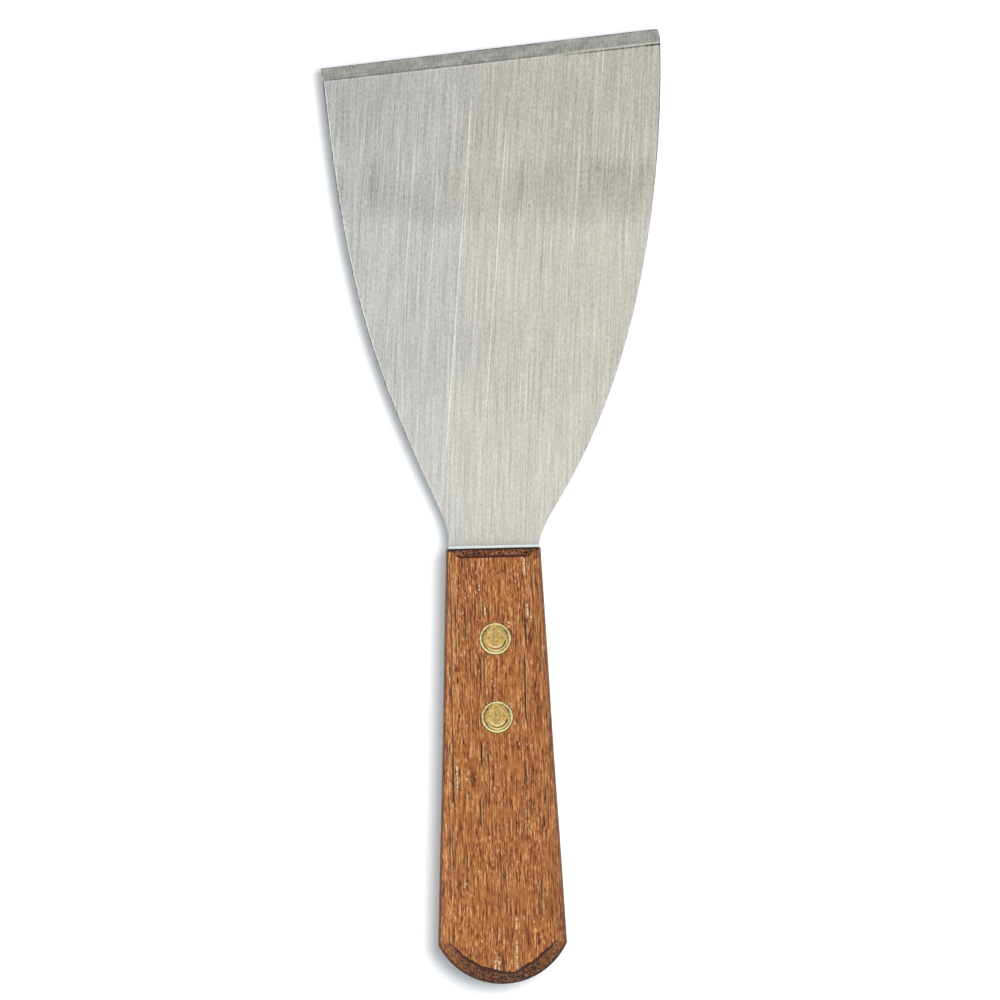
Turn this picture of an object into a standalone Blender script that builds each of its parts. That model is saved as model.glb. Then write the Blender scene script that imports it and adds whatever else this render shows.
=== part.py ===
"""Palette knife: a fan-shaped steel blade riveted into a one-piece wooden handle.

The blade and its half-length tang are one sheet. The tang sits in a saw kerf in the
handle, and two brass cutler's rivets hold it there, each of them a socket and a post
that are pressed together through the handle and the tang.

The design axes start at the middle of the handle's front end, on the blade's middle
plane: +X to the right, +Y towards the blade's edge, +Z up, with the ground face up.
The finished knife hangs from one empty, which puts the middle of its underside on the
world origin.
"""
from math import asin, cos, radians, sin

import bmesh
import bpy
from mathutils import Matrix, Vector

MM = 0.001
GAP = 0.3 * MM                      # between two pieces that touch on the real knife
MERGE_DISTANCE = 0.01 * MM
CUT_MARGIN = 5.0 * MM               # how far a cutter runs past the piece it cuts

# Blade
BLADE_THICKNESS = 1.2 * MM
TANG_LENGTH = 53.0 * MM
TANG_LEFT = -11.7 * MM
TANG_RIGHT = 11.9 * MM
TANG_CORNER = 1.5 * MM
NECK_LEFT = Vector((-14.4, 11.8)) * MM         # where the hollow neck meets the full flank
NECK_RIGHT = Vector((16.8, 11.1)) * MM
FLANK_RIGHT = Vector((47.0, 131.5)) * MM
EASED_CORNER = Vector((47.0, 132.9)) * MM      # where the right corner starts to be eased
EDGE_LEFT = Vector((-42.3, 127.0)) * MM
EDGE_RIGHT = Vector((46.4, 135.4)) * MM
CREST_LEFT = Vector((-42.2, 123.5)) * MM       # line where the ground bevel starts
CREST_RIGHT = Vector((47.0, 131.6)) * MM
BEVEL_DROP_PER_LENGTH = 0.270                  # slope of the ground bevel
BLADE_CURVE_STEPS = 14

# Handle
HANDLE_LENGTH = 114.1 * MM
HANDLE_THICKNESS = 18.0 * MM
FRONT_HALF_WIDTH = 12.4 * MM
REAR_HALF_WIDTH = 16.9 * MM
BUTT_RADIUS = 18.8 * MM
BUTT_STEPS = 24
LONG_CHAMFER = 3.3 * MM
FRONT_CHAMFER = 2.1 * MM
KERF_DEPTH = TANG_LENGTH + GAP

# Rivets
RIVET_DISTANCES = {"front": 23.6 * MM, "rear": 44.1 * MM}   # back from the handle's front end
HEAD_RADIUS = 4.15 * MM
HEAD_THICKNESS = 1.6 * MM
HEAD_RECESS = 0.1 * MM              # how far a head lies below the handle's face
HEAD_EASE = 0.2 * MM
SOCKET_RADIUS = 2.4 * MM
SOCKET_END = -5.0 * MM              # height of the socket's mouth
SOCKET_BORE_TOP = 4.6 * MM
POST_RADIUS = 1.3 * MM
POST_END = 4.2 * MM
RIVET_STEPS = 32


def clear_scene():
    for thing in list(bpy.data.objects):
        bpy.data.objects.remove(thing, do_unlink=True)


def new_collection(name):
    collection = bpy.data.collections.new(name)
    bpy.context.scene.collection.children.link(collection)
    return collection


def new_material(name, colour, roughness, metallic):
    material = bpy.data.materials.new(name)
    material.use_nodes = True
    shader = material.node_tree.nodes["Principled BSDF"]
    shader.inputs["Base Color"].default_value = (*colour, 1.0)
    shader.inputs["Roughness"].default_value = roughness
    shader.inputs["Metallic"].default_value = metallic
    return material


def add_object(name, data, collection, material=None):
    thing = bpy.data.objects.new(name, data)
    collection.objects.link(thing)
    if material is not None:
        data.materials.clear()
        data.materials.append(material)
    return thing


def flat_curve(name, thickness, collection):
    """A closed flat curve, filled and as thick as the sheet or board it stands for."""
    curve = bpy.data.curves.new(name, "CURVE")
    curve.dimensions = "2D"
    curve.fill_mode = "BOTH"
    curve.extrude = thickness / 2
    return curve, add_object(name, curve, collection)


def mesh_from_curve(name, curve_object, collection, material):
    """Turn a filled curve into one closed mesh with whole flat faces."""
    bpy.context.view_layer.update()
    evaluated = curve_object.evaluated_get(bpy.context.evaluated_depsgraph_get())
    mesh = bpy.data.meshes.new_from_object(evaluated)
    solid = bmesh.new()
    solid.from_mesh(mesh)
    bmesh.ops.remove_doubles(solid, verts=solid.verts, dist=MERGE_DISTANCE)
    bmesh.ops.dissolve_limit(solid, angle_limit=radians(0.05), verts=solid.verts,
                             edges=solid.edges)
    bmesh.ops.recalc_face_normals(solid, faces=solid.faces)
    solid.to_mesh(mesh)
    solid.free()
    placed = curve_object.matrix_world.copy()
    bpy.data.objects.remove(curve_object, do_unlink=True)
    thing = add_object(name, mesh, collection, material)
    thing.matrix_world = placed
    return thing


def box_cutter(name, size, place, collection):
    mesh = bpy.data.meshes.new(name)
    box = bmesh.new()
    bmesh.ops.create_cube(box, size=1.0, matrix=Matrix.Diagonal((*size, 1.0)))
    box.to_mesh(mesh)
    box.free()
    return as_cutter(add_object(name, mesh, collection), place)


def round_cutter(name, radius, bottom, top, place, collection):
    mesh = bpy.data.meshes.new(name)
    rod = bmesh.new()
    bmesh.ops.create_cone(rod, cap_ends=True, segments=RIVET_STEPS, radius1=radius,
                          radius2=radius, depth=top - bottom,
                          matrix=Matrix.Translation((0, 0, (top + bottom) / 2)))
    rod.to_mesh(mesh)
    rod.free()
    return as_cutter(add_object(name, mesh, collection), place)


def as_cutter(thing, place):
    thing.matrix_world = place
    thing.hide_render = True
    thing.display_type = "WIRE"
    return thing


def cut(thing, cutter):
    modifier = thing.modifiers.new(cutter.name, "BOOLEAN")
    modifier.operation = "DIFFERENCE"
    modifier.solver = "EXACT"
    modifier.object = cutter


def add_bezier(curve, knots):
    """A closed spline through knots of (place, handle before, handle after), None for straight."""
    spline = curve.splines.new("BEZIER")
    spline.bezier_points.add(len(knots) - 1)
    spline.resolution_u = BLADE_CURVE_STEPS
    spline.use_cyclic_u = True
    for point, (place, before, after) in zip(spline.bezier_points, knots):
        point.co = (*place, 0)
        point.handle_left_type = "VECTOR" if before is None else "FREE"
        point.handle_right_type = "VECTOR" if after is None else "FREE"
        if before is not None:
            point.handle_left = (*before, 0)
        if after is not None:
            point.handle_right = (*after, 0)


def place_in_mm(x, y):
    return Vector((x, y)) * MM


def rivet_places():
    return {end: Matrix.Translation((0, -back, 0)) for end, back in RIVET_DISTANCES.items()}


def bevel_cutter_place(size):
    """Lay a box with its underside on the ground bevel's plane, over the blade's edge."""
    along = (CREST_RIGHT - CREST_LEFT).normalized()
    across = Vector((-along.y, along.x, -BEVEL_DROP_PER_LENGTH)).normalized()
    along = along.to_3d()
    normal = along.cross(across)
    crest_middle = ((CREST_LEFT + CREST_RIGHT) / 2).to_3d()
    crest_middle.z = BLADE_THICKNESS / 2
    centre = crest_middle + across * size.y / 2 + normal * size.z / 2
    axes = Matrix((along, across, normal)).transposed().to_4x4()
    return Matrix.Translation(centre) @ axes


def make_blade(collection, cutters, steel):
    """The blade and its tang: straight in the handle, hollow at the neck, full at the flanks."""
    curve, outline = flat_curve("blade_outline", BLADE_THICKNESS, collection)
    add_bezier(curve, [
        (Vector((TANG_LEFT + TANG_CORNER, -TANG_LENGTH)), None, None),
        (Vector((TANG_LEFT, TANG_CORNER - TANG_LENGTH)), None, None),
        (Vector((TANG_LEFT, 2.5 * MM)), None, Vector((TANG_LEFT, 5.2 * MM))),
        (NECK_LEFT, place_in_mm(-12.6, 7.9), place_in_mm(-32.4, 51.0)),
        (EDGE_LEFT, place_in_mm(-37.4, 71.5), None),
        (EDGE_RIGHT, None, None),
        (EASED_CORNER, None, None),
        (FLANK_RIGHT, None, place_in_mm(46.8, 91.8)),
        (NECK_RIGHT, place_in_mm(39.3, 45.4), place_in_mm(14.5, 7.6)),
        (Vector((TANG_RIGHT, 0.0)), Vector((TANG_RIGHT, 2.6 * MM)), None),
        (Vector((TANG_RIGHT, TANG_CORNER - TANG_LENGTH)), None, None),
        (Vector((TANG_RIGHT - TANG_CORNER, -TANG_LENGTH)), None, None),
    ])
    blade = mesh_from_curve("blade", outline, collection, steel)
    size = Vector(((EDGE_RIGHT - EDGE_LEFT).length + 2 * CUT_MARGIN, 2 * CUT_MARGIN, CUT_MARGIN))
    cut(blade, box_cutter("bevel_cut", size, bevel_cutter_place(size), cutters))
    for end, place in rivet_places().items():
        cut(blade, round_cutter(f"{end}_tang_hole", SOCKET_RADIUS + GAP, -BLADE_THICKNESS,
                                BLADE_THICKNESS, place, cutters))
    return blade


def handle_outline():
    """The handle's outline from above: two straight sides and a round butt."""
    centre_y = BUTT_RADIUS - HANDLE_LENGTH
    half_turn = asin(REAR_HALF_WIDTH / BUTT_RADIUS)
    points = [(FRONT_HALF_WIDTH, 0.0), (-FRONT_HALF_WIDTH, 0.0)]
    for step in range(BUTT_STEPS + 1):
        angle = half_turn * (2 * step / BUTT_STEPS - 1)
        points.append((BUTT_RADIUS * sin(angle), centre_y - BUTT_RADIUS * cos(angle)))
    return points


def add_chamfer(handle):
    """Chamfer the rims of both broad faces, less at the front end than along the rest."""
    mesh = handle.data
    weights = mesh.attributes.new("bevel_weight_edge", "FLOAT", "EDGE")
    for edge in mesh.edges:
        ends = [mesh.vertices[index].co for index in edge.vertices]
        if abs(ends[0].z - ends[1].z) > MERGE_DISTANCE:
            continue
        at_front = all(abs(end.y) < MERGE_DISTANCE for end in ends)
        weights.data[edge.index].value = FRONT_CHAMFER / LONG_CHAMFER if at_front else 1.0
    bevel = handle.modifiers.new("chamfer", "BEVEL")
    bevel.limit_method = "WEIGHT"
    bevel.width = LONG_CHAMFER
    bevel.segments = 1


def make_handle(collection, cutters, wood):
    """One piece of wood with a kerf for the tang, and a stepped bore for each rivet."""
    curve, outline = flat_curve("handle_outline", HANDLE_THICKNESS, collection)
    spline = curve.splines.new("POLY")
    points = handle_outline()
    spline.points.add(len(points) - 1)
    spline.use_cyclic_u = True
    for point, (x, y) in zip(spline.points, points):
        point.co = (x, y, 0, 1)
    handle = mesh_from_curve("handle", outline, collection, wood)
    add_chamfer(handle)
    kerf_size = Vector((2 * REAR_HALF_WIDTH, KERF_DEPTH + CUT_MARGIN, BLADE_THICKNESS + 2 * GAP))
    kerf_place = Matrix.Translation((0, (CUT_MARGIN - KERF_DEPTH) / 2, 0))
    cut(handle, box_cutter("kerf_cut", kerf_size, kerf_place, cutters))
    face = HANDLE_THICKNESS / 2
    seat = face - HEAD_RECESS - HEAD_THICKNESS - GAP
    outside = face + CUT_MARGIN
    holes = {
        "bore": (SOCKET_RADIUS + GAP, -outside, outside),
        "upper_head_seat": (HEAD_RADIUS + GAP, seat, outside),
        "lower_head_seat": (HEAD_RADIUS + GAP, -outside, -seat),
    }
    for end, place in rivet_places().items():
        for hole, (radius, bottom, top) in holes.items():
            cut(handle, round_cutter(f"{end}_{hole}", radius, bottom, top, place, cutters))
    return handle


def turned(name, profile, place, collection, material):
    """Turn a profile of (radius, height) points, listed from the top of the axis downwards."""
    mesh = bpy.data.meshes.new(name)
    edges = [(index, index + 1) for index in range(len(profile) - 1)]
    mesh.from_pydata([(radius, 0, height) for radius, height in profile], edges, [])
    thing = add_object(name, mesh, collection, material)
    thing.matrix_world = place
    screw = thing.modifiers.new("turn", "SCREW")
    screw.axis = "Z"
    screw.angle = radians(360)
    screw.steps = RIVET_STEPS
    screw.render_steps = RIVET_STEPS
    screw.use_merge_vertices = True
    screw.merge_threshold = MERGE_DISTANCE
    screw.use_smooth_shade = True
    return thing


def make_rivet(end, place, collection, brass):
    """A socket whose head lies in the upper face, and a post whose head lies in the lower one."""
    head_top = HANDLE_THICKNESS / 2 - HEAD_RECESS
    head_bottom = head_top - HEAD_THICKNESS
    socket = turned(f"{end}_rivet_socket", [
        (0.0, head_top),
        (HEAD_RADIUS - HEAD_EASE, head_top),
        (HEAD_RADIUS, head_top - HEAD_EASE),
        (HEAD_RADIUS, head_bottom),
        (SOCKET_RADIUS, head_bottom),
        (SOCKET_RADIUS, SOCKET_END),
        (POST_RADIUS + GAP, SOCKET_END),
        (POST_RADIUS + GAP, SOCKET_BORE_TOP),
        (0.0, SOCKET_BORE_TOP),
    ], place, collection, brass)
    post = turned(f"{end}_rivet_post", [
        (0.0, POST_END),
        (POST_RADIUS - HEAD_EASE, POST_END),
        (POST_RADIUS, POST_END - HEAD_EASE),
        (POST_RADIUS, -head_bottom),
        (HEAD_RADIUS, -head_bottom),
        (HEAD_RADIUS, HEAD_EASE - head_top),
        (HEAD_RADIUS - HEAD_EASE, -head_top),
        (0.0, -head_top),
    ], place, collection, brass)
    return [socket, post]


def stand_on_origin(parts, collection):
    """Hang the knife from one empty that puts the middle of its underside on the origin."""
    origin = bpy.data.objects.new("knife_origin", None)
    collection.objects.link(origin)
    middle_x = (EDGE_LEFT.x + EASED_CORNER.x) / 2
    middle_y = (EDGE_RIGHT.y - HANDLE_LENGTH) / 2
    for part in parts:
        part.parent = origin
    origin.location = (-middle_x, -middle_y, HANDLE_THICKNESS / 2)


def main():
    clear_scene()
    parts = new_collection("palette_knife")
    cutters = new_collection("palette_knife_cutters")
    steel = new_material("brushed_steel", (0.56, 0.55, 0.50), 0.35, 1.0)
    wood = new_material("oiled_wood", (0.38, 0.16, 0.06), 0.55, 0.0)
    brass = new_material("brass", (0.58, 0.40, 0.14), 0.30, 1.0)
    pieces = [make_blade(parts, cutters, steel), make_handle(parts, cutters, wood)]
    for end, place in rivet_places().items():
        pieces += make_rivet(end, place, parts, brass)
    stand_on_origin(pieces + list(cutters.objects), parts)


main()
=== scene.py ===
"""Looks of the palette knife: brushed blade, oiled wooden handle and turned brass rivets.

Lengths inside the shaders are millimetres from the knife's own zero, the middle of the
handle's front end: x to the right, y towards the blade's edge, z up from the table.
"""

from math import atan2, cos, exp, pi, radians, sin, sqrt, tan
from types import SimpleNamespace

import bmesh
import bpy
from mathutils import Matrix, Vector


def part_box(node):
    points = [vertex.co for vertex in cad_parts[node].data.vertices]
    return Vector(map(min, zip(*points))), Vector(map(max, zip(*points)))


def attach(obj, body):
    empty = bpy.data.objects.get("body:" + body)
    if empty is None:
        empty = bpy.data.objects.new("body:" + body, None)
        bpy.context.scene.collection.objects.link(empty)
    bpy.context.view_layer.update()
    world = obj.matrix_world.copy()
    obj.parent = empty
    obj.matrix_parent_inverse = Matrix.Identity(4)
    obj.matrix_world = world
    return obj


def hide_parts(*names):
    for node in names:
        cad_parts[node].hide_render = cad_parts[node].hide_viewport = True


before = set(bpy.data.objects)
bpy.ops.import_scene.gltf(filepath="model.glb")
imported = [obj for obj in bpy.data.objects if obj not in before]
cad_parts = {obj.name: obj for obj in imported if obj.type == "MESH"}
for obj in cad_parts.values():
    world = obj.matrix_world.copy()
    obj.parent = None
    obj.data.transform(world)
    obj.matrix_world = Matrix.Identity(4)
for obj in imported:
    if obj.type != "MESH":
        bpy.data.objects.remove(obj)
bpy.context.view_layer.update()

MM = 0.001
BODY = "root"
HANDLE_LOW, HANDLE_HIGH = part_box("handle")
BLADE_LOW, BLADE_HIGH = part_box("blade")
AXIS_X = (HANDLE_LOW.x + HANDLE_HIGH.x) / 2        # the knife's own zero, in the frame
FRONT_Y = HANDLE_HIGH.y
ZERO = Vector((AXIS_X, FRONT_Y, 0))
KNIFE_PLACE = Matrix.Translation(ZERO)
HANDLE_LENGTH = HANDLE_HIGH.y - HANDLE_LOW.y
THICKNESS = HANDLE_HIGH.z
BLADE_MIDDLE_Z = (BLADE_LOW.z + BLADE_HIGH.z) / 2
BLADE_SHEET = BLADE_HIGH.z - BLADE_LOW.z
TANG_LENGTH = FRONT_Y - BLADE_LOW.y

# Handle, as it leaves the shaper and the sanding belt
FRONT_HALF_WIDTH = 12.4 * MM
REAR_HALF_WIDTH = (HANDLE_HIGH.x - HANDLE_LOW.x) / 2
BUTT_RADIUS = 18.8 * MM
BUTT_CENTRE_Y = BUTT_RADIUS - HANDLE_LENGTH
BUTT_CORNER_Y = BUTT_CENTRE_Y - (BUTT_RADIUS ** 2 - REAR_HALF_WIDTH ** 2) ** 0.5
BUTT_STEPS = 72
SIDE_STEPS = 24
SIDE_WAVER = 0.06 * MM              # how far the sanded sides wander from straight
SIDE_SWING = 9.0                    # and how often, in radians from end to end
UPPER_SCOOP = 1.0                   # how strongly the uneven sanding of the butt shows on each side
LOWER_SCOOP = 0.6
ROUNDING_STEPS = 6
LEAST_DROP = 0.012 * MM             # levels nearer than this are left out
STRAIGHT_BELOW = 0.4 * MM           # the first straight stretch under the lowest chamfer
FLAT_RIM = 0.5 * MM                 # a narrow flat ring round each face, so that it shades level
LONG_CHAMFER = 3.3 * MM
FRONT_CHAMFER = 2.4 * MM
BUTT_CHAMFER = 3.4 * MM
SOFT_RADIUS = 2.5 * MM              # sanded rounding of the long chamfers' edges
CRISP_RADIUS = 0.3 * MM             # the same on the two ends
DIAGONAL = cos(pi / 4)
HALF_DIAGONAL_TURN = tan(pi / 8)
KERF_PLAY = 0.06 * MM
KERF_SPARE = 0.2 * MM               # the saw went this much deeper than the tang
SEAT_PLAY = 0.08 * MM
CUTTER_SPARE = 2 * MM               # how far a cutter for a seat stands out of the wood

# Blade: the widest rounding of its blanked edges, which each edge takes a share of
FLANK_ROUNDING = 0.7 * MM
OTHER_EDGE_SHARE = 0.06
SLIGHT_CORNER = radians(8)          # corners as slight as this aren't rounded
SHORT_STEP = 0.002 * MM             # corners nearer than this are one corner
TOP_MARGIN = 0.02 * MM              # an edge this near the sheet's top face lies in it
LEVEL_FACE = 0.995                  # the bevel is less level than this, but not steep
STEEP_FACE = 0.9
FORWARD_FACE = 0.9
EDGE_BEYOND = 100 * MM              # only the cutting edge looks forward past here

# Rivets
HEAD_STEPS = 96
HEAD_THICKNESS = 1.6 * MM
SHANK_RADIUS = 2.4 * MM
POST_RADIUS = 1.3 * MM
SHANK_PLAY = 0.05 * MM
SHANK_LEAD = 0.2 * MM               # small chamfers on the ends of the two shanks
POST_LEAD = 0.3 * MM
BORE_SPARE = 0.4 * MM               # the socket's hole goes this much deeper than the post
BORE_POINT = 0.1 * MM               # and ends in a shallow cone

# Studio
LENS = 300                          # millimetres, like the sensor's width
SENSOR_WIDTH = 36
VIEW_WIDTH = 262.5 * MM             # how much the view takes in, at the blade's height
VIEW_MIDDLE = ZERO + Vector((2.06, 12.63, 0)) * MM
ROLL = radians(1.356)               # how far the knife lies turned in the view
LAMP_PLACE = (0.225, 0.07, 1.1)     # metres, like its size and the table's
LAMP_SIZE = 0.43
LAMP_POWER = 32.0                   # watts
TABLE_HALF_SIZE = 3.0
TABLE_GAP = 0.1 * MM                # keeps the table's face clear of the handle's underside


# ---------------------------------------------------------------- shader maths

class Wire:
    """A number that varies over a surface, with ordinary maths on it."""

    def __init__(self, finish, socket):
        self.finish = finish
        self.socket = socket

    def __add__(self, other):
        return self.finish.maths("ADD", self, other)

    def __radd__(self, other):
        return self.finish.maths("ADD", other, self)

    def __sub__(self, other):
        return self.finish.maths("SUBTRACT", self, other)

    def __rsub__(self, other):
        return self.finish.maths("SUBTRACT", other, self)

    def __mul__(self, other):
        return self.finish.maths("MULTIPLY", self, other)

    def __rmul__(self, other):
        return self.finish.maths("MULTIPLY", other, self)

    def __truediv__(self, other):
        return self.finish.maths("DIVIDE", self, other)

    def __neg__(self):
        return self.finish.maths("MULTIPLY", self, -1.0)

    def __pow__(self, other):
        return self.finish.maths("POWER", self, other)

    def __abs__(self):
        return self.finish.maths("ABSOLUTE", self)


class Finish:
    """The node tree of one material or of the sky, built by plain calls."""

    def __init__(self, tree):
        self.tree = tree

    def node(self, kind, settings=None, sockets=None, output=0):
        """Add a node: its settings first, then values or links for its sockets."""
        made = self.tree.nodes.new(kind)
        for name, value in (settings or {}).items():
            setattr(made, name, value)
        for name, value in (sockets or {}).items():
            if isinstance(value, Wire):
                self.tree.links.new(value.socket, made.inputs[name])
            else:
                made.inputs[name].default_value = value
        return Wire(self, made.outputs[output])

    def maths(self, operation, first, second=0.0):
        """One step of arithmetic, on numbers or wires."""
        return self.node("ShaderNodeMath", {"operation": operation}, {0: first, 1: second})

    def vector(self, x, y, z):
        return self.node("ShaderNodeCombineXYZ", None, {"X": x, "Y": y, "Z": z})

    def split(self, vector):
        """The three numbers of a vector or a colour."""
        parts = self.node("ShaderNodeSeparateXYZ", None, {"Vector": vector})
        return [Wire(self, socket) for socket in parts.socket.node.outputs]

    def ease(self, value, low, high, start=0.0, end=1.0):
        """Go smoothly from start at low to end at high; high may be the smaller of the two."""
        if low > high:
            low, high, start, end = high, low, end, start
        settings = {"interpolation_type": "SMOOTHSTEP"}
        sockets = {"Value": value, "From Min": low, "From Max": high, "To Min": start, "To Max": end}
        return self.node("ShaderNodeMapRange", settings, sockets)

    def band(self, value, middle, half_width, blur):
        """1 within half_width of middle, fading to 0 over the blur outside it."""
        return self.ease(abs(value - middle), half_width, half_width + blur, 1.0, 0.0)

    def noise(self, vector, detail=2.0, roughness=0.5):
        """A cloudy number about 0.5, with features one unit of the vector across."""
        settings = {"noise_dimensions": "3D"}
        sockets = {"Vector": vector, "Scale": 1.0, "Detail": detail, "Roughness": roughness}
        return self.node("ShaderNodeTexNoise", settings, sockets)

    def cells(self, vector):
        """Distance to the nearest of scattered points, and three random numbers of its own."""
        made = self.node("ShaderNodeTexVoronoi", {"feature": "F1"}, {"Vector": vector, "Scale": 1.0})
        colour = Wire(self, made.socket.node.outputs["Color"])
        return made, self.split(colour)

    def mix(self, share, first, second):
        """Go from the first colour at 0 to the second at 1."""
        settings = {"data_type": "RGBA", "clamp_factor": True}
        first, second = [value if isinstance(value, Wire) else (*value, 1.0) for value in (first, second)]
        return self.node("ShaderNodeMix", settings, {0: share, 6: first, 7: second}, output=2)

    def tint(self, colour, amount):
        """Multiply a colour by a number."""
        settings = {"operation": "SCALE"}
        return self.node("ShaderNodeVectorMath", settings, {0: colour, "Scale": amount})

    def bump(self, height, distance):
        """Relief: the distance is how many metres a height of 1 stands out."""
        sockets = {"Height": height, "Distance": distance, "Strength": 1.0}
        return self.node("ShaderNodeBump", None, sockets)

    def place(self):
        """The point being shaded, in millimetres from the piece's own zero."""
        made = self.node("ShaderNodeTexCoord")
        spot = Wire(self, made.socket.node.outputs["Object"])
        return self.node("ShaderNodeVectorMath", {"operation": "SCALE"}, {0: spot, "Scale": 1000.0})

    def facing(self):
        """The way the surface faces, as three numbers."""
        made = self.node("ShaderNodeTexCoord")
        return self.split(Wire(self, made.socket.node.outputs["Normal"]))


def new_finish(name):
    """A new material and its empty Principled shader."""
    material = bpy.data.materials.new(name)
    material.use_nodes = True
    return material, Finish(material.node_tree), material.node_tree.nodes["Principled BSDF"]


def feed(finish, shader, **sockets):
    """Link or set the shader's sockets; an underscore stands for a space."""
    for name, value in sockets.items():
        socket = shader.inputs[name.replace("_", " ")]
        if isinstance(value, Wire):
            finish.tree.links.new(value.socket, socket)
        else:
            socket.default_value = value


# ---------------------------------------------------------------- finishes

# Long bright draw lines: where they would cross the handle's front, their start, end and strength
DRAW_LINES = (
    (-14.18, 20.0, 126.0, 0.38),
    (-13.5, 62.0, 104.0, 0.16),
    (-4.50, 30.0, 117.0, 0.25),
    (15.3, 70.0, 112.0, 0.24),
    (-9.2, 50.0, 84.0, 0.20),
    (-21.7, 52.0, 104.0, 0.18),
    (-28.2, 66.0, 112.0, 0.18),
    (-32.3, 78.0, 118.0, 0.16),
    (3.6, 58.0, 96.0, 0.15),
    (22.7, 46.0, 90.0, 0.12),
    (29.3, 60.0, 112.0, 0.14),
)
DRAW_LEAN = 0.095                   # the draw lines lean more than the brushing does
CREST_Y = 127.33                    # where the bevel's crest crosses the middle line
CREST_RISE = 0.0908                 # how steeply it climbs to the right
EDGE_Y = 131.0                      # the same for the cutting edge
EDGE_RISE = 0.0947
DULL_STRIPE_Y = 93.0
PITTED_SPOT = (-37.2, 89.0)         # the rust-pitted place beside the left flank, and its reach
PITTED_REACH = (2.4, 11.0)


def brushed_lines(x, y):
    """How far across the brushing a point lies: the lines lean and bend to the right."""
    return x - y * 0.045 - y * y * 0.00015


def beyond_crest(x, y):
    """How far past the bevel's crest a point lies, towards the cutting edge."""
    return y - x * CREST_RISE - CREST_Y


def draw_marks(paint, x, y, grain):
    """The long bright draw lines, each fading in and out along its length."""
    light = 0.0
    for place, start, end, strength in DRAW_LINES:
        line = paint.band(x - y * DRAW_LEAN, place, 0.08, 0.18)
        reach = paint.ease(y, start, start + 14.0) * paint.ease(y, end - 14.0, end, 1.0, 0.0)
        light = light + line * reach * (strength * (0.45 + grain * 1.1))
    return light


def crest_highlight_and_line(paint, x, y):
    """A painted highlight along the bevel's crest, which breaks up and gives way to a dark line."""
    crest = beyond_crest(x, y)
    nibbled = paint.ease(paint.noise(paint.vector(x / 0.9, 0.0, 5.0), detail=2.0), 0.40, 0.56)
    bright = paint.band(crest, -0.24, 0.08, 0.16) * nibbled * paint.ease(x, 30.0, 14.0) * 0.24
    dark_line_strength = paint.ease(x, 16.0, 30.0) * 0.50 + paint.ease(x, 42.0, 46.0) * 0.25
    return bright - paint.band(crest, -0.30, 0.14, 0.16) * dark_line_strength


def rust_pits(paint, x, y, z):
    """Dark pits: a few anywhere, many in one spot beside the left flank."""
    specks, chance = paint.cells(paint.vector(x / 2.9, y / 2.9, z))
    speck = paint.ease(specks, 0.05, 0.10, 1.0, 0.0) * paint.ease(chance[0], 0.84, 0.86)
    spot_x = (x - PITTED_SPOT[0]) / PITTED_REACH[0]
    spot_y = (y - PITTED_SPOT[1]) / PITTED_REACH[1]
    pitted = paint.ease(spot_x * spot_x + spot_y * spot_y, 0.3, 1.0, 1.0, 0.0)
    pits, chance = paint.cells(paint.vector(x / 0.8, y / 1.1, z))
    pit = paint.ease(pits, 0.14, 0.26, 1.0, 0.0) * paint.ease(chance[1], 0.62, 0.66)
    return speck * 0.34 + pit * pitted * 0.42


def edge_shade_and_highlight(paint, x, y, grain):
    """The blanked edges: painted shade on their rounding, deepest on the left flank and at the right
    flank's upper corner, with a painted highlight just inside them.
    """
    level = abs(paint.facing()[2])
    shaded_edge = paint.ease(level, 0.90, 0.80)
    lit_edge = paint.ease(level, 0.985, 0.970) * paint.ease(level, 0.90, 0.95)
    left = paint.ease(x, 10.0, -10.0)
    corner = paint.ease(x, 20.0, 30.0) * paint.ease(y, 94.0, 118.0)
    bright = lit_edge * (grain * 0.6 - 0.05) * (1.0 - corner)
    return bright - shaded_edge * (0.30 + left * 0.25 + corner * 0.38)


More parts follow.
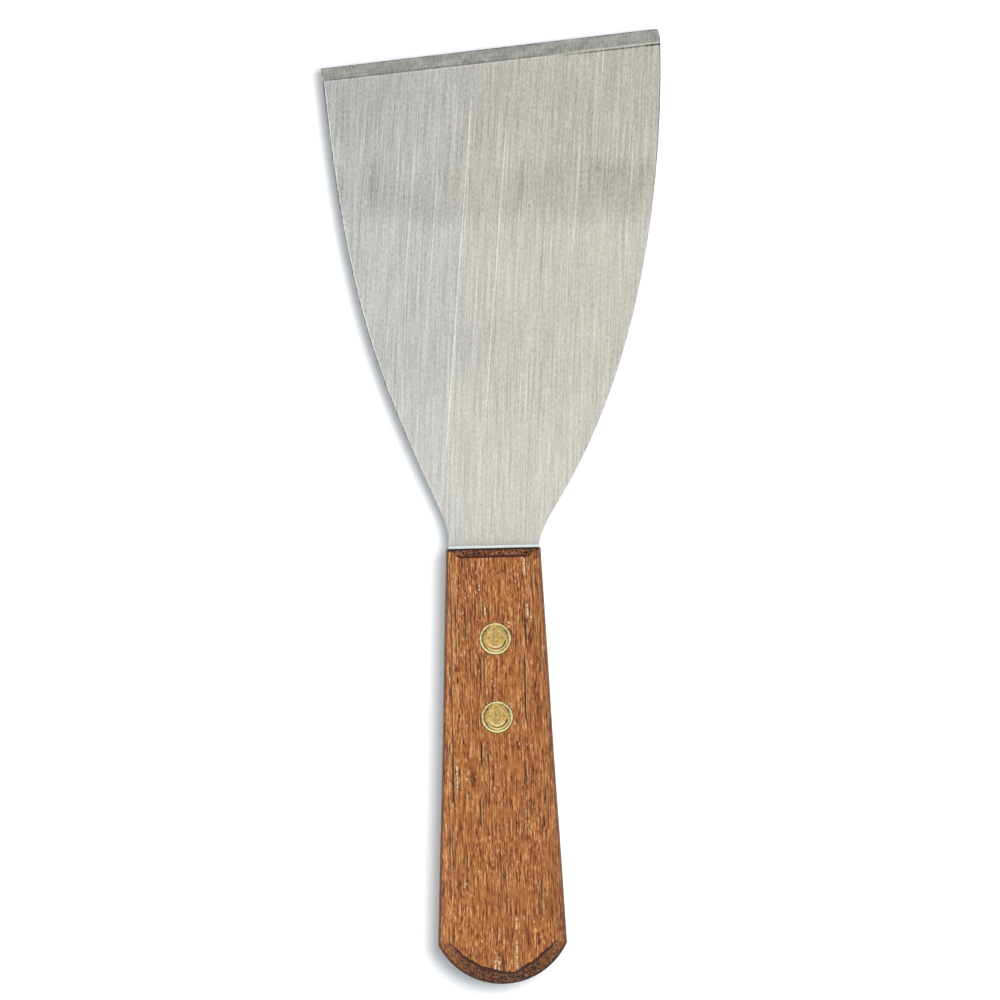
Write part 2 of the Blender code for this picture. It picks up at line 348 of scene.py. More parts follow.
def brushed_steel():
    """Stainless sheet, brushed along its length by hand, with a few long bright draw lines."""
    material, paint, shader = new_finish("brushed_stainless")
    x, y, z = paint.split(paint.place())
    across = brushed_lines(x, y)
    hairs = paint.noise(paint.vector(across / 0.36, y / 15.0, z / 2.0), detail=2.0, roughness=0.62)
    drags = paint.noise(paint.vector(across / 1.05, y / 44.0, 7.0), detail=2.0)
    grain = paint.noise(paint.vector(across / 0.36, y / 0.95, z / 0.5 + 3.0), detail=1.0, roughness=0.6)
    cloud = paint.noise(paint.vector(x / 16.0, y / 22.0, 4.0), detail=2.0)

    tone = 1.0 + (hairs - 0.5) * 0.85 + (drags - 0.5) * 0.26 + (grain - 0.5) * 0.62
    tone = tone + (cloud - 0.5) * 0.10

    # a duller, cloudy stripe across the blade; the sheet darker towards the bevel, lighter towards the
    # handle, and a little darker on the left towards the bevel
    stripe = paint.band(y + (cloud - 0.5) * 10.0, DULL_STRIPE_Y, 2.5, 8.0)
    patches = paint.ease(paint.noise(paint.vector(across / 9.0, y / 30.0, 1.0)), 0.34, 0.66)
    tone = tone - stripe * (0.05 + patches * 0.13)
    tone = tone - paint.ease(y, 80.0, 118.0) * 0.13 + paint.ease(y, 60.0, 6.0) * 0.09
    tone = tone - paint.ease(x, -10.0, -34.0) * paint.ease(y, 92.0, 112.0) * 0.05

    tone = tone + draw_marks(paint, x, y, grain)
    scratches = paint.noise(paint.vector(across / 0.34, y / 30.0, 11.0), detail=0.0)
    tone = tone + paint.ease(scratches, 0.66, 0.84) * 0.22
    tone = tone - paint.ease(scratches, 0.34, 0.18) * 0.18
    # painted highlight along the bevel's crest, and a dark line beside it
    tone = tone + crest_highlight_and_line(paint, x, y)

    # a painted highlight line where the sheet enters the wood, and painted contact shadow, black, at the
    # saw cut itself
    painted_neck_highlight = paint.band(y, 0.42, 0.24, 0.12)
    tone = tone * paint.ease(y, 0.02, 0.18, 0.10, 1.0)
    # rust pits, then painted shade and painted highlight on the blanked edges
    tone = tone - rust_pits(paint, x, y, z) + edge_shade_and_highlight(paint, x, y, grain)

    warmth = paint.ease(x + (cloud - 0.5) * 20.0, -42.0, 30.0)
    metal = paint.mix(warmth, (0.620, 0.620, 0.598), (0.668, 0.643, 0.575))
    # painted highlight along the neck, pale blue-white
    metal = paint.mix(painted_neck_highlight * 0.9, paint.tint(metal, tone), (0.84, 0.97, 1.0))
    roughness = 0.38 + (hairs - 0.5) * 0.14 + (cloud - 0.5) * 0.08 - painted_neck_highlight * 0.26
    feed(paint, shader, Base_Color=metal, Metallic=1.0, Roughness=roughness,
         Normal=paint.bump(hairs * 0.6 + drags * 0.2 + grain * 0.2, 0.000014))
    return material


def ground_steel():
    """The bevel, ground across by a coarser stone: darker, with mottled cross marks."""
    material, paint, shader = new_finish("ground_stainless")
    x, y = paint.split(paint.place())[:2]
    crest = beyond_crest(x, y)
    edge = y - x * EDGE_RISE - EDGE_Y
    marks = paint.noise(paint.vector(x / 0.42, crest / 1.6, 5.0), detail=2.0, roughness=0.6)
    along = paint.noise(paint.vector(x / 9.0, crest / 0.42, 2.0), detail=2.0)
    stains = paint.noise(paint.vector(x / 3.6, crest / 2.2, 9.0), detail=2.0)
    tone = 1.0 + (marks - 0.5) * 1.35 + (along - 0.5) * 0.60 + (stains - 0.5) * 0.95
    tone = tone - paint.band(edge, 0.0, 0.14, 0.24) * 0.34
    # the crest: a thin dark line on the left, a painted highlight on the right
    tone = tone - paint.band(crest, 0.22, 0.14, 0.22) * paint.ease(x, 26.0, 10.0) * 0.26
    tone = tone + paint.band(crest, 0.24, 0.12, 0.18) * paint.ease(x, 16.0, 28.0) * 0.48
    tone = tone + paint.ease(x, 0.0, 40.0) * 0.08
    colour = paint.tint(paint.mix(stains, (0.400, 0.393, 0.362), (0.366, 0.368, 0.348)), tone)
    feed(paint, shader, Base_Color=colour, Metallic=1.0, Roughness=0.42 + (marks - 0.5) * 0.2,
         Normal=paint.bump(marks * 0.6 + along * 0.4, 0.00003))
    return material


# Short pores: width and length of the space each one has, its half size in it, how many are open
PORES = (
    (0.60, 3.2, 0.30, 0.34),
    (0.85, 8.0, 0.20, 0.30),
)
# The long open vessels that show most: across, first and last y, half width, depth of colour
LONG_VESSELS = (
    (-11.3, -3.0, -36.0, 0.10, 0.55),
    (-11.75, -30.0, -61.0, 0.14, 0.75),
    (-11.9, -52.7, -67.1, 0.18, 0.95),
    (-10.2, -6.0, -30.0, 0.08, 0.45),
    (-13.2, -64.0, -92.0, 0.12, 0.60),
    (-4.5, -2.5, -9.9, 0.12, 0.80),
    (3.3, -3.0, -7.6, 0.12, 0.85),
    (-4.9, -12.0, -18.0, 0.12, 0.80),
    (-2.9, -14.0, -18.4, 0.12, 0.85),
    (-7.6, -15.0, -24.3, 0.12, 0.80),
    (8.1, -17.5, -26.4, 0.14, 0.90),
    (-6.6, -25.3, -33.0, 0.12, 0.80),
    (-4.0, -28.0, -38.5, 0.12, 0.90),
    (-3.0, -27.0, -37.0, 0.09, 0.70),
    (7.6, -27.0, -46.0, 0.12, 0.90),
    (-4.3, -50.0, -57.5, 0.14, 0.95),
    (-2.5, -53.0, -67.0, 0.11, 0.80),
    (-5.0, -64.5, -73.0, 0.13, 0.90),
    (-6.1, -72.8, -75.5, 0.17, 1.00),
    (7.2, -55.0, -76.0, 0.08, 0.60),
    (11.6, -70.0, -73.6, 0.17, 1.00),
    (12.0, -64.0, -67.0, 0.14, 0.90),
    (2.6, -70.0, -76.0, 0.10, 0.70),
    (-8.8, -80.0, -90.0, 0.12, 0.70),
    (1.2, -84.0, -96.0, 0.10, 0.60),
    (10.4, -86.0, -97.0, 0.12, 0.75),
)
# Vessels filled with pale dust: across, first and last y
CHALKED_VESSELS = (
    (3.75, -102.2, -110.6),
    (-1.97, -107.5, -110.4),
    (-1.0, -106.5, -110.6),
    (1.68, -108.6, -110.3),
    (-10.85, -56.4, -62.6),
    (-3.9, -9.4, -11.2),
    (-2.6, -14.0, -18.0),
    (8.6, -14.5, -18.4),
    (9.4, -17.6, -19.6),
    (3.55, -18.9, -20.9),
    (3.60, -40.0, -41.9),
    (8.0, -2.6, -7.4),
    (3.80, -96.0, -100.0),
)


def wood_grain(paint, x, y, z):
    """The noises along the grain that the wood's colour, pores and relief are made of."""
    sway = (paint.noise(paint.vector(x / 9.0, y / 34.0, z / 9.0), detail=1.0) - 0.5) * 2.4
    tremble = (paint.noise(paint.vector(x / 2.2, y / 3.4, z / 2.2), detail=1.0) - 0.5) * 0.55
    across = x + sway + tremble
    wide = paint.noise(paint.vector(across / 4.2, y / 70.0, z / 4.2), detail=2.0)
    strands = paint.noise(paint.vector(across / 0.70, y / 13.0, z / 0.70), detail=2.0, roughness=0.6)
    fibre = paint.noise(paint.vector(across / 0.40, y / 1.6, z / 0.40), detail=1.0, roughness=0.6)
    hairlines = paint.noise(paint.vector(across / 0.29, y / 7.0, z / 0.29 + 8.0), detail=1.0)
    curl_x = x * 0.8 + y * 0.6
    curl_y = y * 0.8 - x * 0.6
    figure = paint.noise(paint.vector(curl_x / 0.9, curl_y / 3.8, z / 1.5), detail=1.0)
    patch = paint.noise(paint.vector(x / 5.0, y / 16.0, z / 5.0 + 2.0), detail=1.0)
    lively = paint.ease(patch, 0.35, 0.65, 0.55, 1.15)
    return SimpleNamespace(across=across, tremble=tremble, wide=wide, strands=strands, fibre=fibre,
                           hairlines=hairlines, figure=figure, lively=lively)


def long_grain(paint, grain):
    """The colour of the wood along its grain, before its vessels."""
    colour = paint.mix(paint.ease(grain.wide, 0.3, 0.7), (0.560, 0.200, 0.053), (0.490, 0.163, 0.045))
    tone = (grain.strands - 0.5) * 0.8 + (grain.fibre - 0.5) * 2.0 * grain.lively
    tone = tone + (grain.figure - 0.5) * 0.5 + (grain.hairlines - 0.5) * 2.8
    colour = paint.mix(paint.ease(tone, 0.05, -0.75), colour, (0.135, 0.026, 0.008))
    colour = paint.mix(paint.ease(tone, 0.05, 0.85), colour, (0.95, 0.45, 0.17))
    # the tips of the fibres catch the light
    tips = paint.ease(grain.fibre + (grain.hairlines - 0.5) * 0.9, 0.62, 0.76) * grain.lively
    colour = paint.mix(tips * 0.60, colour, (1.0, 0.57, 0.22))
    seams = paint.ease(grain.hairlines, 0.38, 0.25) * paint.ease(grain.fibre, 0.36, 0.56)
    return paint.mix(seams * 0.85, colour, (0.11, 0.026, 0.010))


def open_vessels(paint, x, y, z, grain):
    """Where the pores and long vessels are open, and where a vessel's far lip is lit."""
    pores = paint.ease(grain.strands, 0.36, 0.25) * paint.ease(grain.fibre, 0.40, 0.60) * 0.65
    for width, length, size, share in PORES:
        distance, chance = paint.cells(paint.vector(grain.across / width, y / length, z / width))
        mark = paint.ease(distance / (size * (0.45 + chance[1] * 0.55)), 0.55, 1.0, 1.0, 0.0)
        mark = mark * paint.ease(chance[0], 1.0 - share, 1.02 - share)
        pores = paint.maths("MAXIMUM", mark, pores)
    wander = x + grain.tremble * 0.7 + (y + 55.0) * 0.004
    beads = paint.ease(grain.fibre, 0.34, 0.50)
    lit = 0.0
    for place, start, end, half_width, depth in LONG_VESSELS:
        line = paint.band(wander, place, half_width * 1.15, half_width)
        reach = paint.ease(y, start, start - 1.2) * paint.ease(y, end, end + 1.2)
        pores = paint.maths("MAXIMUM", line * reach * (0.30 + beads * 0.78) * depth, pores)
        lit = paint.maths("MAXIMUM", paint.band(wander, place + 0.36, 0.05, 0.14) * reach, lit)
    return pores, lit * (0.20 + beads * 0.45)


def chalky_dust(paint, x, y, z, grain):
    """Where pale dust fills a vessel or lies in a pore."""
    pale = 0.0
    crumbs = paint.ease(paint.noise(paint.vector(x / 2.0, y / 0.55, 2.0), detail=1.0), 0.40, 0.52)
    for place, start, end in CHALKED_VESSELS:
        line = paint.band(x + grain.tremble * 0.4, place, 0.13, 0.12)
        reach = paint.ease(y, start, start - 0.5) * paint.ease(y, end, end + 0.5)
        pale = paint.maths("MAXIMUM", line * reach * crumbs, pale)
    distance, chance = paint.cells(paint.vector(grain.across / 0.62, y / 1.3, z / 0.62))
    dust = paint.ease(distance, 0.16, 0.34, 1.0, 0.0) * paint.ease(chance[2], 0.978, 0.986)
    return paint.maths("MAXIMUM", pale, dust * (grain.lively - 0.3))


def end_grain(paint, x, y, z, grain, char):
    """The colour of the cut ends, which soak up the oil and turn dark."""
    dots, chance = paint.cells(paint.vector(x / 0.62, y / 1.2, z / 0.62))
    dot = paint.ease(dots, 0.20, 0.36, 1.0, 0.0)
    flecks = paint.noise(paint.vector(x / 0.40, y / 0.5, z / 0.40), detail=1.0)
    tone = 1.0 + (char - 0.5) * 5.6 + (flecks - 0.5) * 7.6
    tone = tone - dot * paint.ease(chance[0], 0.5, 0.55) * 0.5
    tone = paint.maths("MAXIMUM", tone * paint.ease(y, -60.0, -20.0, 0.90, 1.60), 0.12)
    soaked = paint.tint(paint.mix(grain.wide, (0.178, 0.058, 0.018), (0.125, 0.050, 0.019)), tone)
    filled = dot * paint.ease(chance[1], 0.66, 0.72) * paint.ease(x, -2.0, 6.0, 0.25, 1.0)
    return paint.mix(filled * 0.75, soaked, (0.62, 0.42, 0.28))


def oiled_wood():
    """Reddish open-pored hardwood, lightly oiled, with dark end grain on the end chamfers."""
    material, paint, shader = new_finish("oiled_hardwood")
    x, y, z = paint.split(paint.place())
    grain = wood_grain(paint, x, y, z)
    pores, lit = open_vessels(paint, x, y, z, grain)
    colour = paint.mix(lit, long_grain(paint, grain), (0.90, 0.52, 0.24))
    colour = paint.mix(pores * 0.90, colour, (0.070, 0.018, 0.008))
    colour = paint.mix(chalky_dust(paint, x, y, z, grain) * 0.95, colour, (1.0, 0.85, 0.60))

    facing_along, facing_up = [abs(part) for part in paint.facing()[1:]]
    end = paint.ease(facing_along, 0.20, 0.62)
    char = paint.noise(paint.vector(x / 0.8, y / 0.9, z / 0.8 + 6.0), detail=2.0, roughness=0.6)
    colour = paint.mix(end, colour, end_grain(paint, x, y, z, grain, char))

    # dark lines along the ends' chamfers; painted shade on the lower rounding of the chamfers, deeper on
    # the left and at the butt; painted contact shadow at the foot of the front chamfer, against the blade
    half_thickness = THICKNESS / MM / 2
    below = half_thickness - abs(z - half_thickness)
    inner_line = paint.band(below, 0.28, 0.26, 0.24) * paint.ease(facing_along, 0.10, 0.40)
    outer_shade = paint.ease(below - end * 0.4, 2.35, 2.80) * paint.ease(facing_up, 0.02, 0.20)
    front_contact_shade = paint.band(below, FRONT_CHAMFER / MM, 0.28, 0.20) * paint.ease(y, -0.9, -0.5)
    colour = paint.mix(inner_line * (0.40 + char), colour, (0.065, 0.014, 0.007))
    shaded = paint.maths("MAXIMUM", paint.ease(x, 8.0, -8.0), paint.ease(y, -92.0, -104.0))
    colour = paint.mix(outer_shade * (0.45 + shaded * 0.28), colour, (0.040, 0.016, 0.010))
    colour = paint.mix(front_contact_shade, colour, (0.020, 0.010, 0.010))

    roughness = 0.58 + (grain.strands - 0.5) * 0.2 + pores * 0.2
    relief = grain.strands * 0.35 + grain.fibre * 0.35 - pores * 0.9
    feed(paint, shader, Base_Color=colour, Roughness=roughness, Specular_IOR_Level=0.30,
         Normal=paint.bump(relief, 0.00010))
    return material


def turned_brass():
    """Brass head faced on a lathe, closed by a press tool: tool marks, with painted highlights on the rim
    and in two rings, and painted shade in the groove's flanks and in a crescent on the lower side.
    """
    material, paint, shader = new_finish("turned_brass")
    x, y, z = paint.split(paint.place())
    radius = (x * x + y * y) ** 0.5
    rings = paint.noise(paint.vector(radius / 0.16, 0.0, 0.0), detail=2.0)
    smear = paint.noise(paint.vector(x / 0.75, y / 0.75, z / 0.75), detail=2.0, roughness=0.6)
    bloom = paint.noise(paint.vector(x / 1.7, y / 1.7, 3.0), detail=1.0)
    rim = paint.ease(radius, 3.62, 3.78)
    groove = paint.band(radius, 3.34, 0.18, 0.20)
    low_side = paint.ease(x * 0.35 - y * 0.94, 0.4, 2.4)
    # painted shade: a dark crescent on the lower side; painted highlights: two light rings
    crescent = paint.band(radius, 2.72, 0.09, 0.16) * low_side
    inner_light = paint.band(radius, 2.15, 0.18, 0.24) * paint.ease(-y, 0.6, 1.9)
    outer_light = paint.band(radius, 3.12, 0.10, 0.14) * low_side
    chord = paint.band(x * 0.743 + y * 0.668, 2.16, 0.07, 0.14) * paint.ease(radius, 3.3, 3.1)
    left_chord = paint.band(y * 0.408 - x * 0.913, 2.02, 0.06, 0.14) * paint.ease(radius, 3.3, 3.1)
    flanks = paint.ease(abs(x), 0.8, 2.6)

    # the rim's painted highlight is strongest towards the lower left; the groove gets painted shade on
    # its flanks
    sunny = paint.ease(y * -0.9 - x * 0.4, 1.0, 3.6) + paint.ease(y * 0.9 - x * 0.3, 1.6, 3.8) * 0.4
    tone = 1.0 + (rings - 0.5) * 0.70 + (smear - 0.5) * 2.1 + rim * (0.06 + sunny * 0.36)
    tone = tone - groove * (0.02 + flanks * 0.46) - crescent * 0.72
    tone = tone + inner_light * 0.42 + outer_light * 0.38 + chord * 0.30 + left_chord * 0.20
    brass = paint.mix(paint.ease(bloom, 0.3, 0.7), (0.57, 0.42, 0.165), (0.64, 0.42, 0.135))
    # the paler rim and the lighter rings are painted highlights
    brass = paint.mix(rim * 0.8, brass, (0.84, 0.78, 0.42))
    brass = paint.mix((inner_light + outer_light) * 0.5, brass, (0.80, 0.62, 0.33))
    warm_x = (x - 1.2) / 1.2
    warm_y = (y + 0.4) / 0.9
    warm = paint.ease(warm_x * warm_x + warm_y * warm_y, 0.0, 1.0, 1.0, 0.0)
    brass = paint.mix(warm * 0.7, brass, (0.66, 0.36, 0.09))
    relief = rings * 0.25 + smear * 0.3 - crescent + chord * 0.5 + left_chord * 0.4
    feed(paint, shader, Base_Color=paint.tint(brass, tone), Metallic=1.0,
         Roughness=0.34 + (smear - 0.5) * 0.2 + groove * 0.1,
         Normal=paint.bump(relief, 0.00004))
    return material


def pale_floor():
    """A white table that glows a little of its own, as a light table does."""
    material, paint, shader = new_finish("pale_table")
    x, y = paint.split(paint.place())[:2]
    tone = 0.33 + (paint.noise(paint.vector(x / 60.0, y / 60.0, 0.0)) - 0.5) * 0.01
    feed(paint, shader, Base_Color=paint.vector(tone, tone * 1.01, tone * 1.04), Roughness=0.9,
         Specular_IOR_Level=0.1, Emission_Color=(0.96, 1.06, 1.10, 1.0), Emission_Strength=0.22)
    return material


# ---------------------------------------------------------------- pieces

def new_piece(name, mesh, place, node):
    """Show a mesh in place of a CAD node, riding on the knife's one body."""
    piece = bpy.data.objects.new(name, mesh)
    bpy.context.scene.collection.objects.link(piece)
    piece.matrix_world = place
    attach(piece, BODY)
    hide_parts(node)
    return piece


def settle(piece):
    """Turn the piece's modifiers into its final mesh and drop the cutters they used."""
    bpy.context.view_layer.update()
    graph = bpy.context.evaluated_depsgraph_get()
    mesh = bpy.data.meshes.new_from_object(piece.evaluated_get(graph))
    cutters = [modifier.object for modifier in piece.modifiers if modifier.type == "BOOLEAN"]
    piece.modifiers.clear()
    piece.data = mesh
    for cutter in cutters:
        bpy.data.objects.remove(cutter, do_unlink=True)


def smooth(mesh, sharp_degrees):
    """Shade the mesh smooth, but for the edges that turn by more than so many degrees."""
    mesh.shade_smooth()
    mesh.set_sharp_from_angle(angle=radians(sharp_degrees))


def round_edges(piece, width, segments):
    """Round the edges that carry a bevel weight."""
    bevel = piece.modifiers.new("rounding", "BEVEL")
    bevel.limit_method = "WEIGHT"
    bevel.width = width
    bevel.segments = segments
    bevel.use_clamp_overlap = False


def weigh_edges(mesh, weight_of):
    """Give each edge the bevel weight that weight_of(one end, other end, angle) says."""
    shape = bmesh.new()
    shape.from_mesh(mesh)
    layer = shape.edges.layers.float.get("bevel_weight_edge")
    layer = layer or shape.edges.layers.float.new("bevel_weight_edge")
    for edge in shape.edges:
        angle = edge.calc_face_angle(0.0)
        edge[layer] = weight_of(edge.verts[0].co, edge.verts[1].co, angle)
    shape.to_mesh(mesh)
    shape.free()


def blade_mesh():
    """The CAD blade's shape with whole faces, moved to the knife's own zero."""
    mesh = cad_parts["blade"].data.copy()
    shape = bmesh.new()
    shape.from_mesh(mesh)
    bmesh.ops.transform(shape, matrix=Matrix.Translation(-ZERO), verts=shape.verts)
    bmesh.ops.remove_doubles(shape, verts=shape.verts, dist=SHORT_STEP)
    bmesh.ops.dissolve_limit(shape, angle_limit=radians(0.1), verts=shape.verts, edges=shape.edges)
    shape.to_mesh(mesh)
    shape.free()
    return mesh


def climb(value, low, high):
    """0 up to low, then evenly up to 1 at high."""
    return min(1.0, max(0.0, (value - low) / (high - low)))


def flank_share(middle):
    """How much of the widest rounding the blade's upper flank has at a point: most on the left."""
    swell = climb(middle.y / MM, 6, 36)
    if middle.x < 0:
        return 0.2 + 0.8 * swell
    return 0.2 + 0.15 * swell + 0.20 * climb(middle.y / MM, 80, 110)


def make_blade(steel, ground):
    """The sheet with its tang: its flanks rounded, its bevel and cutting edge in ground steel."""
    mesh = blade_mesh()
    mesh.materials.clear()
    mesh.materials.append(steel)
    mesh.materials.append(ground)
    for face in mesh.polygons:
        bevel = STEEP_FACE < face.normal.z < LEVEL_FACE
        forward = face.normal.z < STEEP_FACE and face.normal.y > FORWARD_FACE
        cutting_edge = forward and face.center.y > EDGE_BEYOND
        face.material_index = 1 if bevel or cutting_edge else 0
    top = BLADE_HIGH.z - TOP_MARGIN

    def weight(first, second, angle):
        if angle < SLIGHT_CORNER:
            return 0.0
        on_top = first.z > top and second.z > top
        middle = (first + second) / 2
        flank = abs(first.x - second.x) < abs(first.y - second.y) and middle.y > 0
        return flank_share(middle) if on_top and flank else OTHER_EDGE_SHARE

    weigh_edges(mesh, weight)
    blade = new_piece("blade_sheet", mesh, KNIFE_PLACE, "blade")
    round_edges(blade, FLANK_ROUNDING, 3)
    settle(blade)
    smooth(blade.data, sharp_degrees=12)
    return blade


def inset_at(depth, size, radius):
    """How far in a chamfer's surface lies at a depth below the face; both its edges are rounded."""
    tangent = radius * HALF_DIAGONAL_TURN
    if depth < radius * (1 - DIAGONAL):
        return size + tangent - sqrt(max(0.0, depth * (2 * radius - depth)))
    if depth < size + tangent - radius * DIAGONAL:
        return size - depth
    if depth < size + tangent:
        return radius - sqrt(max(0.0, radius ** 2 - (size + tangent - depth) ** 2))
    return 0.0


def belt_wander(angle):
    """How unevenly the belt took the butt's chamfer: one deep scoop right of the middle."""
    across = BUTT_RADIUS * sin(angle) / MM
    scoop = exp(-((across - 2.8) / 3.6) ** 2)
    ripple = 0.03 * sin(across * 1.1) + 0.025 * sin(across * 3.1 + 1.0)
    return 0.19 - 0.27 * scoop + ripple


def handle_ring(side, front, butt, scoop):
    """One level of the handle's outline, pulled in by its side, front and butt chamfers."""
    slope = (REAR_HALF_WIDTH - FRONT_HALF_WIDTH) / BUTT_CORNER_Y
    radius = BUTT_RADIUS - butt
    # where the pulled-in side line meets the pulled-in butt circle
    start_x = FRONT_HALF_WIDTH - side
    square = 1 + slope ** 2
    linear = 2 * (start_x * slope - BUTT_CENTRE_Y)
    constant = start_x ** 2 + BUTT_CENTRE_Y ** 2 - radius ** 2
    corner_y = (-linear - sqrt(linear * linear - 4 * square * constant)) / (2 * square)
    corner_x = start_x + slope * corner_y
    half_turn = atan2(corner_x, BUTT_CENTRE_Y - corner_y)
    right = []
    for step in range(SIDE_STEPS):
        share = step / SIDE_STEPS
        y = -front + (corner_y + front) * share
        waver = SIDE_WAVER * (sin(share * SIDE_SWING) - 1.0) * sin(share * pi)
        right.append((start_x + slope * y + waver, y))
    turned = []
    for step in range(BUTT_STEPS + 1):
        share = 1 - 2 * step / BUTT_STEPS
        angle = half_turn * share
        fade_at_corners = 1 - share ** 8
        uneven = butt * scoop * belt_wander(angle) * fade_at_corners
        reach = radius - uneven
        turned.append((reach * sin(angle), BUTT_CENTRE_Y - reach * cos(angle)))
    left = [(-x, y) for x, y in reversed(right)]
    return right + turned + left


def chamfer_depths():
    """The depths below a face at which the handle's surface is laid out."""
    depths = []
    chamfers = ((LONG_CHAMFER, SOFT_RADIUS), (FRONT_CHAMFER, CRISP_RADIUS), (BUTT_CHAMFER, CRISP_RADIUS))
    for size, radius in chamfers:
        tangent = radius * HALF_DIAGONAL_TURN
        for step in range(ROUNDING_STEPS + 1):
            turn = step / ROUNDING_STEPS * pi / 4
            depths.append(radius * (1 - cos(turn)))
            depths.append(size + tangent - radius * sin(turn))
    depths = sorted(depths)
    kept = [depths[0]]
    for depth in depths[1:]:
        if depth - kept[-1] > LEAST_DROP:
            kept.append(depth)
    return kept + [kept[-1] + STRAIGHT_BELOW]


def handle_blank():
    """The shaped handle: its outline laid out level by level between the two faces."""
    shape = bmesh.new()
    levels = []
    for depth in chamfer_depths():
        side = inset_at(depth, LONG_CHAMFER, SOFT_RADIUS)
        front = inset_at(depth, FRONT_CHAMFER, CRISP_RADIUS)
        butt = inset_at(depth, BUTT_CHAMFER, CRISP_RADIUS)
        levels.append((depth, side, front, butt))
    depth, side, front, butt = levels[0]
    levels.insert(0, (depth, side + FLAT_RIM, front + FLAT_RIM, butt + FLAT_RIM))
    rings = []
    for depth, side, front, butt in levels:
        outline = handle_ring(side, front, butt, UPPER_SCOOP)
        rings.append([shape.verts.new((x, y, THICKNESS - depth)) for x, y in outline])
    for depth, side, front, butt in reversed(levels):
        outline = handle_ring(side, front, butt, LOWER_SCOOP)
        rings.append([shape.verts.new((x, y, depth)) for x, y in outline])
    for upper, lower in zip(rings, rings[1:]):
        for here in range(len(upper)):
            after = (here + 1) % len(upper)
            shape.faces.new((upper[here], upper[after], lower[after], lower[here]))
    shape.faces.new(rings[0])
    shape.faces.new(rings[-1])
    bmesh.ops.recalc_face_normals(shape, faces=shape.faces)
    mesh = bpy.data.meshes.new("handle_wood")
    shape.to_mesh(mesh)
    shape.free()
    return mesh


def seat_cutter(name, low, high, radius, place):
    """A round cutter between two heights."""
    mesh = bpy.data.meshes.new(name)
    shape = bmesh.new()
    bmesh.ops.create_cone(shape, cap_ends=True, segments=HEAD_STEPS, radius1=radius, radius2=radius,
                          depth=high - low, matrix=Matrix.Translation((0, 0, (low + high) / 2)))
    shape.to_mesh(mesh)
    shape.free()
    cutter = bpy.data.objects.new(name, mesh)
    bpy.context.scene.collection.objects.link(cutter)
    cutter.matrix_world = place
    return cutter


def cut(piece, cutter):
    """Take the cutter's shape out of the piece when the piece is settled."""
    modifier = piece.modifiers.new(cutter.name, "BOOLEAN")
    modifier.operation = "DIFFERENCE"
    modifier.solver = "EXACT"
    modifier.object = cutter


def kerf_cutter():
    """The saw cut for the tang, right across the handle and open at its front end."""
    mesh = bpy.data.meshes.new("kerf")
    shape = bmesh.new()
    depth = TANG_LENGTH + KERF_SPARE
    reach = 5 * MM
    size = (3 * REAR_HALF_WIDTH, depth + reach, BLADE_SHEET + 2 * KERF_PLAY, 1)
    bmesh.ops.create_cube(shape, size=1.0, matrix=Matrix.Diagonal(size))
    shape.to_mesh(mesh)
    shape.free()
    cutter = bpy.data.objects.new("kerf", mesh)
    bpy.context.scene.collection.objects.link(cutter)
    cutter.matrix_world = Matrix.Translation(ZERO + Vector((0, (reach - depth) / 2, BLADE_MIDDLE_Z)))
    return cutter


def make_handle(wood):
    """The wooden handle, with its saw cut and a stepped seat for each rivet."""
    mesh = handle_blank()
    mesh.materials.append(wood)
    handle = new_piece("handle_wood", mesh, KNIFE_PLACE, "handle")
    cut(handle, kerf_cutter())
    for end in ("front", "rear"):
        place, head_radius = rivet_place(end)
        post_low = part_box(f"{end}_rivet_post")[0]
        seat = head_radius + SEAT_PLAY
        floor_of_seat = post_low.z + HEAD_THICKNESS
        below = -CUTTER_SPARE
        above = THICKNESS + CUTTER_SPARE
        bore = SHANK_RADIUS + SEAT_PLAY
        cut(handle, seat_cutter(f"{end}_bore", below, above, bore, place))
        cut(handle, seat_cutter(f"{end}_upper_seat", THICKNESS - floor_of_seat, above, seat, place))
        cut(handle, seat_cutter(f"{end}_lower_seat", below, floor_of_seat, seat, place))
    settle(handle)
    smooth(handle.data, sharp_degrees=28)
    return handle


def rivet_place(end):
    """The rivet's axis at the table's height, and its head's radius."""
    low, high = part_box(f"{end}_rivet_socket")
    middle = (low + high) / 2
    return Matrix.Translation((middle.x, middle.y, 0)), (high.x - low.x) / 2


def head_profile(radius, top):
    """The turned face of a head, from its middle outwards: dome, groove, raised rim."""
    dish = [(0.0, -0.02), (0.20, -0.022), (0.40, -0.035), (0.58, -0.065), (0.66, -0.10),
            (0.70, -0.13), (0.735, -0.15), (0.80, -0.13), (0.86, -0.09), (0.885, -0.03),
            (0.91, -0.005), (0.96, 0.0), (0.985, -0.03), (1.0, -0.10)]
    return [(share * radius, top + depth * MM) for share, depth in dish]


def turned_mesh(name, profile, material):
    """Turn a profile of (radius, height) round the vertical axis into a closed mesh."""
    mesh = bpy.data.meshes.new(name)
    shape = bmesh.new()
    points = [shape.verts.new((radius, 0, height)) for radius, height in profile]
    edges = [shape.edges.new(pair) for pair in zip(points, points[1:])]
    bmesh.ops.spin(shape, geom=points + edges, axis=(0, 0, 1), cent=(0, 0, 0), angle=2 * pi,
                   steps=HEAD_STEPS, use_merge=True)
    bmesh.ops.remove_doubles(shape, verts=shape.verts, dist=SHORT_STEP)
    bmesh.ops.recalc_face_normals(shape, faces=shape.faces)
    shape.to_mesh(mesh)
    shape.free()
    mesh.materials.append(material)
    smooth(mesh, sharp_degrees=40)
    return mesh


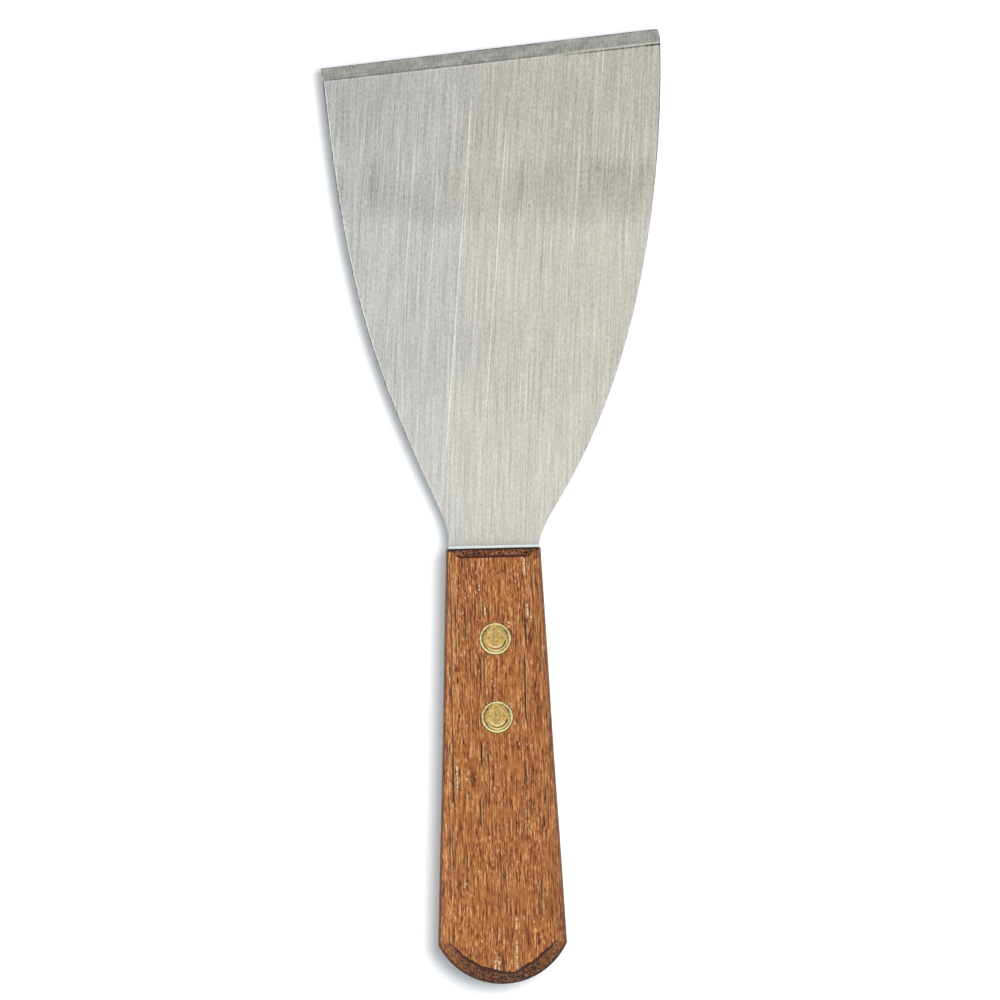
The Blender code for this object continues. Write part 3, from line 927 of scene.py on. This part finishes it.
def make_rivet(end, brass):
    """The two halves of one rivet: a socket with a hollow shank, and the post pressed into it."""
    low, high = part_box(f"{end}_rivet_socket")
    post_low, post_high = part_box(f"{end}_rivet_post")
    place, radius = rivet_place(end)
    under_head = high.z - HEAD_THICKNESS
    bore = POST_RADIUS + SHANK_PLAY
    bore_end = post_high.z + BORE_SPARE
    socket = head_profile(radius, high.z) + [
        (radius, under_head), (SHANK_RADIUS, under_head), (SHANK_RADIUS, low.z + SHANK_LEAD),
        (SHANK_RADIUS - SHANK_LEAD, low.z), (bore, low.z), (bore, bore_end),
        (0.0, bore_end + BORE_POINT)]
    face = [(across, -height) for across, height in head_profile(radius, -post_low.z)]
    under_head = post_low.z + HEAD_THICKNESS
    post = face + [
        (radius, under_head), (POST_RADIUS, under_head), (POST_RADIUS, post_high.z - POST_LEAD),
        (POST_RADIUS - POST_LEAD, post_high.z), (0.0, post_high.z)]
    for half, profile in (("socket", socket), ("post", post)):
        mesh = turned_mesh(f"{end}_{half}", profile, brass)
        new_piece(f"{end}_rivet_{half}_turned", mesh, place, f"{end}_rivet_{half}")


# ---------------------------------------------------------------- studio

def make_floor(material):
    """A wide level table just under the knife."""
    mesh = bpy.data.meshes.new("table")
    shape = bmesh.new()
    bmesh.ops.create_grid(shape, x_segments=1, y_segments=1, size=TABLE_HALF_SIZE)
    shape.to_mesh(mesh)
    shape.free()
    mesh.materials.append(material)
    floor = bpy.data.objects.new("table", mesh)
    floor.location.z = -TABLE_GAP
    bpy.context.scene.collection.objects.link(floor)
    return floor


def make_lamp(floor):
    """A round soft lamp aimed at the knife: it lights only the table, for the soft shadow on it."""
    light = bpy.data.lights.new("table_lamp", "AREA")
    light.shape = "DISK"
    light.size = LAMP_SIZE
    light.energy = LAMP_POWER
    lamp = bpy.data.objects.new("table_lamp", light)
    bpy.context.scene.collection.objects.link(lamp)
    lamp.location = LAMP_PLACE
    lamp.rotation_mode = "QUATERNION"
    lamp.rotation_quaternion = Vector(LAMP_PLACE).to_track_quat("Z", "Y")
    lit_table = bpy.data.collections.new("lit_table")
    lit_table.objects.link(floor)
    lamp.light_linking.receiver_collection = lit_table


def make_sky():
    """A white studio, brightest overhead, dimmer low down and towards the lower right."""
    world = bpy.data.worlds.new("studio")
    bpy.context.scene.world = world
    world.use_nodes = True
    paint = Finish(world.node_tree)
    made = paint.node("ShaderNodeTexCoord")
    x, y, z = paint.split(Wire(paint, made.socket.node.outputs["Generated"]))
    height = paint.ease(z, 0.0, 0.95)
    strength = 0.40 + height * 0.52 - x * 0.24 + y * 0.08
    background = world.node_tree.nodes["Background"]
    background.inputs["Color"].default_value = (1.0, 1.0, 1.0, 1.0)
    world.node_tree.links.new(strength.socket, background.inputs["Strength"])


def make_camera():
    """Straight above through a long lens, rolled so that the handle leans as it lies."""
    lens = bpy.data.cameras.new("above")
    lens.sensor_width = SENSOR_WIDTH
    lens.lens = LENS
    lens.clip_start = 0.01
    lens.clip_end = 20
    camera = bpy.data.objects.new("above", lens)
    bpy.context.scene.collection.objects.link(camera)
    distance = VIEW_WIDTH * LENS / SENSOR_WIDTH
    camera.location = VIEW_MIDDLE + Vector((0, 0, distance + BLADE_HIGH.z))
    camera.rotation_euler = (0, 0, -ROLL)
    bpy.context.scene.camera = camera


make_blade(brushed_steel(), ground_steel())
make_handle(oiled_wood())
brass = turned_brass()
for rivet_end in ("front", "rear"):
    make_rivet(rivet_end, brass)

make_lamp(make_floor(pale_floor()))
make_sky()
make_camera()
bpy.context.scene.view_settings.view_transform = "Standard"
